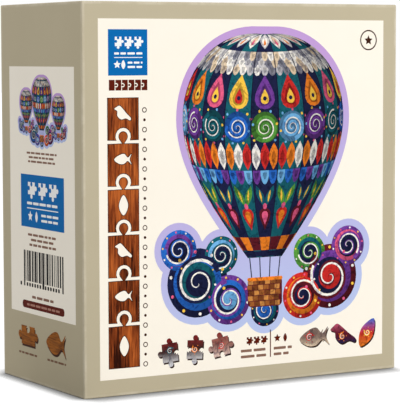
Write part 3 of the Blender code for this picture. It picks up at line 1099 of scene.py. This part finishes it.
def side_prints(wall_name, side, edge, label, foot, balloons, captions):
    """The prints of a side wall, from the left edges of its panel, its label and its wooden pieces on."""
    stamp(wall_name + "_cream_panel", side, [panel(edge, 29.3, edge + 61.4, 133.8)], 0, CREAM_PRINT)
    picture = Picture()
    for top, scale in zip(balloons, BALLOON_SCALES):
        paint_scene(picture, top, scale, 1.0)
    picture.printed(wall_name + "_picture", side)
    stamp(wall_name + "_blue_label", side, [panel(label, 66.1, label + 41.0, 88.4)], 1, BLUE_PRINT)
    marks = piece_marks(label + 7.0, 80.0, 6.6, 5.2, 10.2)
    marks += plain_lines(label + 6.0, 75.3, label + 35.6, 77.7, 1, 33)
    marks += [panel(label + 6.0, 74.0, label + 35.6, 74.4), star(label + 9.0, 70.8, 2.3)]
    marks += [smooth_outline(LEAF, label + 15.0, 70.8, 2.5)]
    marks += plain_lines(label + 19.6, 68.6, label + 35.6, 73.0, 2, 34)
    stamp(wall_name + "_label_marks", side, marks, 2, WHITE_PRINT)
    stamp(wall_name + "_captions", side, captions, 1, CAPTION_PRINT)
    stamp(wall_name + "_pill", side, [panel(label + 0.6, 31.4, label + 40.6, 34.7, 1.6)], 1, RED_PRINT)
    pill_line = plain_lines(label + 5.0, 32.2, label + 36.2, 34.2, 1, 14, True)
    stamp(wall_name + "_pill_line", side, pill_line, 2, PALE_LINE_PRINT)
    wooden = [jigsaw(foot + 4.6, 15.6, foot + 17.6, 23.6, (0, 1, -1, 1), 0.21)]
    wooden += [smooth_outline(FISH, foot + 38.2, 19.2, 10.6)]
    edges = [shifted(outline, WOOD_EDGE_SHIFT) for outline in wooden]
    stamp(wall_name + "_piece_edges", side, edges, 0, BROWN_PRINT)
    stamp(wall_name + "_wood_pieces", side, wooden, 1, GOLD_PRINT)
    under = plain_lines(foot + 2.0, 11.0, foot + 20.4, 12.9, 1, 31)
    under += plain_lines(foot + 29.6, 11.0, foot + 47.0, 12.9, 1, 32)
    stamp(wall_name + "_piece_captions", side, under, 0, FAINT_PRINT)


left_captions = plain_lines(26.0, 93.2, 54.5, 98.6, 3, 11, True)
left_captions += plain_lines(26.5, 57.8, 54.5, 64.2, 3, 12, True)
left_captions += plain_lines(30.0, 35.6, 50.5, 38.0, 1, 13, True)
left_balloons = ((26.0, 124.0), (56.4, 122.0), (40.8, 129.4))
side_prints("left", LEFT, 9.4, 20.0, 14.6, left_balloons, left_captions)
right_captions = plain_lines(23.0, 93.2, 51.5, 98.6, 3, 41, True)
right_captions += plain_lines(20.0, 40.0, 55.0, 62.0, 8, 42)
right_balloons = ((23.2, 123.0), (53.2, 124.6), (37.8, 129.4))
side_prints("right", RIGHT, 7.2, 17.0, 12.0, right_balloons, right_captions)
bars = []
bar_left = BARS_LEFT
chance = random.Random(23)
while bar_left < BARS_RIGHT:
    thick = chance.choice((0.6, 0.6, 1.2, 1.8))
    guard = bar_left < 23.8 or 39.5 < bar_left < 41.5 or bar_left > 57.2
    bars.append(panel(bar_left, GUARDS_LOW if guard else BARS_LOW, bar_left + thick, BARS_HIGH))
    bar_left += thick + chance.choice((0.5, 0.5, 1.0))
for start in (18.6, 24.8, 27.3, 29.8, 32.3, 34.8, 37.3, 42.4, 44.9, 47.4, 49.9, 52.4, 54.9):
    bars.append(panel(start, GUARDS_LOW, start + 1.5, BARS_LOW - 0.6, 0.4))
stamp("left_bars", LEFT, bars, 1, BLACK_PRINT)

# Top of the lid: a cream panel with a row of wood-grain pieces that lock into one another, so that the
# box can be found from above. They have the same dark cut lines as the column in front.
TOP = wall((LID_LOW.x, LID_LOW.y, LID_HIGH.z), (1, 0, 0), (0, 1, 0))
stamp("top_cream_panel", TOP, [panel(7.2, 9.0, 146.8, 69.0)], 0, CREAM_PRINT)
top_row = interlocked(29.0, 31.0, 16.0, 16.0, 6, 0.19)
stamp("top_column_cut_lines", TOP, [take_in(whole, 0.4) for whole in top_row], 1, BROWN_PRINT)
top_wood = printed_wood("top_wood_grain_print", 0)
stamp("top_wood_pieces", TOP, [take_in(whole, 0.75) for whole in top_row], 2, top_wood)

# Base: the tray inside the lid, of the same board and wrapped in the same tan paper. It is open towards
# the front, and its flat back closes the box.
BASE_LOW, BASE_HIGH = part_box("base")
base = tray("base_wrap", BASE_LOW, BASE_HIGH, -1)
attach(base, "base")
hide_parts("base")

# Back of the base: a cream panel with a smaller print of the picture, a row of four cut pieces under it
# and three plain lines, in the same inks as the front.
BACK = wall((BASE_HIGH.x, BASE_HIGH.y, BASE_LOW.z), (-1, 0, 0), (0, 0, 1))
stamp("back_cream_panel", BACK, [panel(8.0, 8.0, 140.6, 146.6)], 0, CREAM_PRINT, "base")
back_picture = Picture()
paint_scene(back_picture, (74.3, 138.0), 0.62, 2.0)
for row_piece in (
        (smooth_outline(FISH, 30.0, 36.0, 12.0), FISH_TONES, (26.0, 36.0), 2.4, 0.3),
        (jigsaw(53.0, 30.0, 65.0, 42.0, RAISED_KNOBS, 0.17), PIECE_TONES, (59.0, 36.0), 2.2, 0.6),
        (smooth_outline(BIRD, 90.0, 36.0, 11.0), BIRD_TONES, (89.4, 34.8), 2.1, 1.3),
        (smooth_outline(LEAF, 120.0, 36.0, 11.5, -30), LEAF_TONES, (120.0, 36.0), 2.0, 2.6)):
    cut_piece(back_picture, *row_piece)
back_picture.printed("back_picture", BACK, "base")
back_lines = plain_lines(34.0, 14.0, 114.0, 23.0, 3, 51, True)
stamp("back_captions", BACK, back_lines, 1, CAPTION_PRINT, "base")

# Loose wooden pieces of the front layer: laser-cut plywood with the picture on one side. Their solids are
# right as they are, and get a printed face, a bare back and a burnt edge with the plies just showing.
LEAN = math.radians(4.0)
PRINT_FIRST = 0.32
PRINT_PATCH = 0.072
PLIES = 420.0
BURNT_EDGE = srgb(64, 38, 22)
BURNT_PLY = srgb(98, 62, 36)
BARE_WOOD = srgb(206, 170, 122)
BARE_GRAIN = srgb(172, 130, 84)


def plywood(name, tones, seed, face_up=True):
    """One plywood finish: swirls of ink on the face, pale grain on the back, burnt plies on the edge."""
    wood = Finish(name)
    normal = wood.node("ShaderNodeNewGeometry", output="True Normal")
    front = wood.along(normal, "Y") * (-1.0 if face_up else 1.0)
    swirl = wood.noise(78.0, 1.0, twist=2.4, shift=(seed * 0.37, 0.0, seed * 0.21))
    stops = []
    for index, tone in enumerate(tones):
        middle = PRINT_FIRST + index * PRINT_PATCH
        stops += [(middle - 0.44 * PRINT_PATCH, tone), (middle + 0.44 * PRINT_PATCH, tone)]
    border = abs(((swirl - PRINT_FIRST) * (1 / PRINT_PATCH)).fraction() - 0.5)
    print_tone = wood.blend((0.09 > border) * 0.8, wood.ramp(swirl, *stops), darken(NAVY, 0.5))
    brush = wood.noise(420.0, 3.0, 0.6, 1.5)
    strokes = wood.ramp(brush, (0.36, (0.58, 0.56, 0.62)), (0.54, (1.0, 1.0, 1.0)))
    print_tone = wood.blend(1.0, print_tone, strokes, "MULTIPLY")
    grain = wood.noise(160.0, 4.0, 0.6, 0.3, stretch=(7.0, 1.0, 0.7))
    bare_tone = wood.ramp(grain, (0.36, BARE_GRAIN), (0.62, BARE_WOOD))
    depth = wood.along(wood.place(turn=(-LEAN, 0.0, 0.0), stretch=(1.0, PLIES, 1.0)), "Y")
    ply = abs(depth.fraction() - 0.5) > 0.30
    edge_tone = wood.blend(ply * 0.7 + brush * 0.2, BURNT_EDGE, BURNT_PLY)
    face_or_edge = wood.blend(front > 0.7, edge_tone, print_tone)
    wood.set("Base Color", wood.blend((0.0 - front) > 0.7, face_or_edge, bare_tone))
    wood.set("Roughness", 0.62 - (front > 0.7) * 0.24 + brush * 0.08)
    wood.bump(grain * 0.6 + brush * 0.4, 0.25, SPECK_RELIEF)
    return wood.material


PIECE_FINISHES = [
    plywood("piece_print_night", (NAVY, TEAL, SKY, PEARL, BLUE, PURPLE), 1),
    plywood("piece_print_fire", (MAROON, RED, ORANGE, YELLOW, NAVY, PINK), 2),
    plywood("piece_print_garden", (NAVY, GREEN, TEAL, YELLOW, PURPLE, SKY), 3),
    plywood("piece_print_pearl", (SMOKE, STONE, PEARL, SAND, STONE, PERIWINKLE), 4),
    plywood("piece_print_berry", (PURPLE, PINK, LAVENDER, PEARL, MAROON, ORANGE), 5),
    plywood("piece_bare_back", (BURNT_PLY, BARE_GRAIN, BARE_WOOD), 6, False),
]
chance = random.Random(64)
for name in sorted(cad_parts):
    if name.startswith(("piece_", "figure_piece_")):
        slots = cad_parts[name].data.materials
        slots.clear()
        slots.append(chance.choice(PIECE_FINISHES))

# Pieces behind the front layer, in three sheets as they leave the laser: plywood, print side to the back.
# Every piece is cut free, and only the width of the cut keeps it from its neighbours.
POUCH_SIZE = Vector((142.65, 20.1, 135.26))
POUCH_FOOT = Vector((0.0, 27.065, 5.2)) * MM
POUCH_FRAME = Matrix.Translation(POUCH_FOOT) @ Matrix.Rotation(-LEAN, 4, "X")
FILM = 0.8
LAYER_GAP = 0.5
PIECE_THICK = 4.0
FRONT_FACE_DEPTH = POUCH_SIZE.y - FILM - LAYER_GAP
STAND_GAP = 0.1
SHEET_GRID = 6
PIECE_SIDE = 13.3
KNOB_RADIUS = 2.0
KNOB_RISE = 1.6
KNOB_NECK = 1.3
CORNER_SHIFT = 0.5
CUT_WIDTH = 0.24


def sheet_cuts():
    """The cuts of one sheet, each from its lower or left corner on, with a round knob to one side."""
    chance = random.Random(150)
    corners = {}
    for column in range(SHEET_GRID + 1):
        for row in range(SHEET_GRID + 1):
            shift = Vector((chance.uniform(-1, 1), chance.uniform(-1, 1))) * CORNER_SHIFT
            corners[column, row] = Vector((column, row)) * PIECE_SIDE + shift
    cuts = {}
    low = math.asin(-KNOB_RISE / math.hypot(KNOB_NECK, KNOB_RISE))
    for (column, row), corner in corners.items():
        for upright in (False, True):
            far_corner = corners.get((column, row + 1) if upright else (column + 1, row))
            if far_corner is None:
                continue
            side = chance.choice((-1, 1))
            foot = corner.lerp(far_corner, chance.uniform(0.44, 0.56))
            along = (far_corner - corner).normalized()
            across = Vector((-along.y, along.x)) * side
            head = foot + across * KNOB_RISE
            points = [corner]
            for step in range(9):
                angle = (math.pi - low) + (2 * low - math.pi) * step / 8
                points.append(head + KNOB_RADIUS * (along * math.cos(angle) + across * math.sin(angle)))
            cuts[column, row, upright] = points + [far_corner]
    return cuts


def sheet_pieces(cuts):
    """The outline of every piece of a sheet, drawn in by half the cut."""
    outlines = []
    for column in range(SHEET_GRID):
        for row in range(SHEET_GRID):
            outline = cuts[column, row, False][:-1] + cuts[column + 1, row, True][:-1]
            outline += cuts[column, row + 1, False][:0:-1] + cuts[column, row, True][:0:-1]
            outlines.append(take_in(outline, CUT_WIDTH / 2))
    return outlines


sheet_outlines = sheet_pieces(sheet_cuts())
sheet_low = min(up for outline in sheet_outlines for across, up in outline)
sheet_finish = plywood("sheet_plywood", (NAVY, MAROON, TEAL, RED, ORANGE, SKY), 7, False)
for layer in (1, 2, 3):
    depth = -FRONT_FACE_DEPTH + PIECE_THICK / 2 + layer * (PIECE_THICK + LAYER_GAP)
    sheet = flat_solid("cut_sheet_%d" % layer, sheet_outlines, PIECE_THICK)
    stand = Vector((-SHEET_GRID * PIECE_SIDE / 2, depth, FILM + STAND_GAP - sheet_low)) * MM
    upright = Matrix.Rotation(math.pi / 2, 4, "X") @ Matrix.Scale(MM, 4)
    sheet.data.transform(POUCH_FRAME @ Matrix.Translation(stand) @ upright)
    sheet.data.materials.append(sheet_finish)
    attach(sheet, "base")
    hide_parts("joined_pieces_%d" % layer)

# Clear pouch: soft film round the pieces, tight at its sides, slack and creased in front, with its mouth
# at the top under a flap that is stuck down on the front.
FILM_WALL = 0.18
FILM_GRID = 2.5
FILM_ANGLE = math.radians(50)
FILM_ROUNDING = 2.6
FRONT_SWELL = 2.6
CREASE = 1.1
SLACK_STARTS = 12.0
SLACK_RUN = 8.0
FLAP_TUCK = 6.0
FLAP_NARROWER = 3.0
FLAP_LIFT = 0.3
FLAP_DROP = 24.0
FLAP_BEND = ((0.0, 0.4, 0.3), (0.0, -POUCH_SIZE.y - 0.3, 0.0), (0.0, -0.9, -0.9), (0.0, 0.0, -FLAP_DROP))


def clear_film():
    """Clear film: see-through when faced, with painted highlights that whiten it where it turns away, along
    creases and in fine glints.
    """
    film = Finish("clear_film")
    film.set("Base Color", (0.95, 0.97, 1.0))
    film.set("Roughness", 0.08)
    film.set("Specular IOR Level", 0.6)
    rim = film.node("ShaderNodeLayerWeight", {"Blend": 0.30}, "Facing")
    ripple = film.noise(45.0, twist=0.5, stretch=(1.0, 1.0, 0.6))
    patch = film.noise(28.0)
    # Painted highlights: the film is mixed towards white at grazing angles, along crease lines of the
    # pattern and in fine glints, in place of reflections.
    crease = (1.0 - abs(ripple - 0.5) * 55.0).at_least(0.0) * (patch > 0.5)
    painted_glint = (1.0 - abs(film.noise(150.0, twist=0.3) - 0.5) * 40.0).at_least(0.0)
    clear = film.node("ShaderNodeBsdfTransparent", {"Color": (0.99, 0.995, 1.0)})
    share = 0.012 + rim * rim * 0.30 + crease * 0.30 + painted_glint * patch * 0.10
    body = Socket(film, film.shader.outputs["BSDF"])
    mixed = film.node("ShaderNodeMixShader", {0: share, 1: clear, 2: body})
    film.plug(film.tree.nodes["Material Output"].inputs["Surface"], mixed)
    film.bump(ripple, 0.30, 0.6 * MM)
    return film.material


CLEAR_FILM = clear_film()


def film_swell(place):
    """How far the slack front of the film stands off, in millimetres, with its creases."""
    across = place.x / (POUCH_SIZE.x / 2)
    up = place.z / POUCH_SIZE.z
    free = max(0.0, 1 - across ** 4) * max(0.0, 1 - (2 * up - 1) ** 4)
    sweep = noise.noise(Vector((place.x * 0.028 + place.z * 0.012, 3.0, place.z * 0.022)))
    crease = (1 - abs(noise.noise(Vector((place.x * 0.045, 9.0, place.z * 0.06 + place.x * 0.02))))) ** 5
    fine = (1 - abs(noise.noise(Vector((place.x * 0.11 - place.z * 0.05, 21.0, place.z * 0.09))))) ** 7
    return free * (FRONT_SWELL * (0.55 + 0.45 * sweep) + CREASE * crease + 0.5 * CREASE * fine) + 0.15 * fine


def film_grid(item):
    """Cuts a mesh into a fine grid with upright and level planes."""
    bpy.ops.object.mode_set(mode="EDIT")
    low = Vector(item.bound_box[0])
    high = Vector(item.bound_box[6])
    for axis in (0, 2):
        direction = Vector((0.0, 0.0, 0.0))
        direction[axis] = 1.0
        place = low[axis] + FILM_GRID
        while place < high[axis] - FILM_GRID / 3:
            bpy.ops.mesh.select_all(action="SELECT")
            bpy.ops.mesh.bisect(plane_co=direction * place, plane_no=direction)
            place += FILM_GRID
    bpy.ops.object.mode_set(mode="OBJECT")


def finish_film(item):
    """Gives the film its wall and finish, and stands it in the base."""
    skin = item.modifiers.new("film", "SOLIDIFY")
    skin.thickness = FILM_WALL
    skin.offset = -1.0
    bpy.ops.object.modifier_apply(modifier="film")
    item.data.transform(POUCH_FRAME @ Matrix.Scale(MM, 4))
    bpy.ops.object.shade_smooth_by_angle(angle=FILM_ANGLE)
    item.data.materials.append(CLEAR_FILM)
    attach(item, "base")


pouch_low = Vector((-POUCH_SIZE.x / 2, -POUCH_SIZE.y, 0.0))
pouch_high = Vector((POUCH_SIZE.x / 2, 0.0, POUCH_SIZE.z))
pouch = open_box("film_pouch", pouch_low, pouch_high, Vector((0.0, 0.0, 1.0)), FILM_ROUNDING)
bpy.ops.object.mode_set(mode="OBJECT")
film_grid(pouch)
for vertex in pouch.data.vertices:
    slack = max(0.0, min(1.0, (-vertex.co.y - SLACK_STARTS) / SLACK_RUN))
    vertex.co.y -= film_swell(vertex.co) * slack
finish_film(pouch)
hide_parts("pouch")

bpy.ops.object.select_all(action="DESELECT")
bpy.ops.mesh.primitive_plane_add(size=1.0, location=(0.0, -0.1, POUCH_SIZE.z - FLAP_TUCK / 2),
                                 rotation=(math.pi / 2, 0.0, 0.0),
                                 scale=(POUCH_SIZE.x - FLAP_NARROWER, FLAP_TUCK, 1.0))
flap = bpy.context.object
flap.name = "film_pouch_flap"
bpy.ops.object.transform_apply(location=True, rotation=True, scale=True)
bpy.ops.object.mode_set(mode="EDIT")
pick(flap, "EDGE", lambda edge: min(vertex.co.z for vertex in edge.verts) > POUCH_SIZE.z - 0.5)
for move in FLAP_BEND:
    bpy.ops.mesh.extrude_edges_move()
    bpy.ops.transform.translate(value=move)
face_outwards()
film_grid(flap)
for vertex in flap.data.vertices:
    if vertex.co.y < -POUCH_SIZE.y:
        vertex.co.y -= film_swell(vertex.co) + FLAP_LIFT
finish_film(flap)
